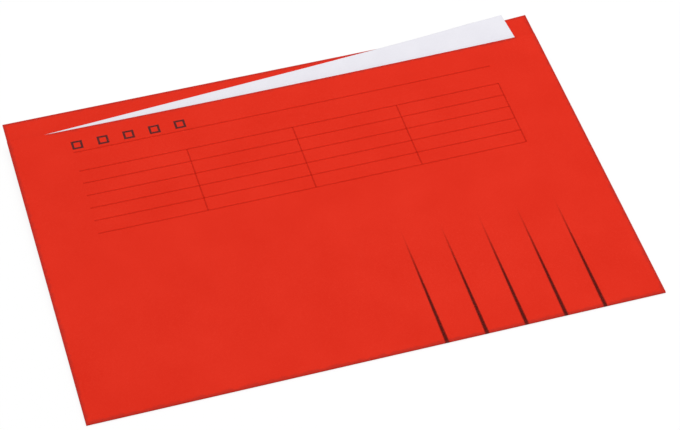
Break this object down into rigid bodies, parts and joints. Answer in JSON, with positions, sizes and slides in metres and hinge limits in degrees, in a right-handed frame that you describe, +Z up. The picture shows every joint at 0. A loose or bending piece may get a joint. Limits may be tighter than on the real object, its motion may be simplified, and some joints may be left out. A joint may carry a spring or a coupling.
{
  "type": "file folder",
  "caption": "Folded card document folder with a shorter front cover that turns on the crease, and a loose sheet of paper slipped between the covers.",
  "frame": {"origin": "on the resting surface, under the middle of the back cover", "axes": "+X along the fold, to the right as seen from the fold; +Y from the fold to the open edge; +Z up"},
  "size_m": [0.3506, 0.2557, 0.0053],
  "materials": {
    "card": "smooth uncoated folder card, dyed red through",
    "paper": "plain white writing paper"
  },
  "bodies": {
    "back_cover": {"back_cover": "card", "fold_crease": "card"},
    "front_cover": {"front_cover": "card"},
    "paper_sheet": {"paper_sheet": "paper"}
  },
  "joints": [
    {"name": "cover_fold", "type": "hinge", "parent": "back_cover", "child": "front_cover", "pos_m": [0, -0.12586, 0.00075], "axis": [1, 0, 0], "range_deg": [0, 178]},
    {"name": "sheet_slide", "type": "slide", "parent": "back_cover", "child": "paper_sheet", "axis": [-0.0689, 0.9976, 0.0112], "range_m": [0, 0.24]}
  ]
}
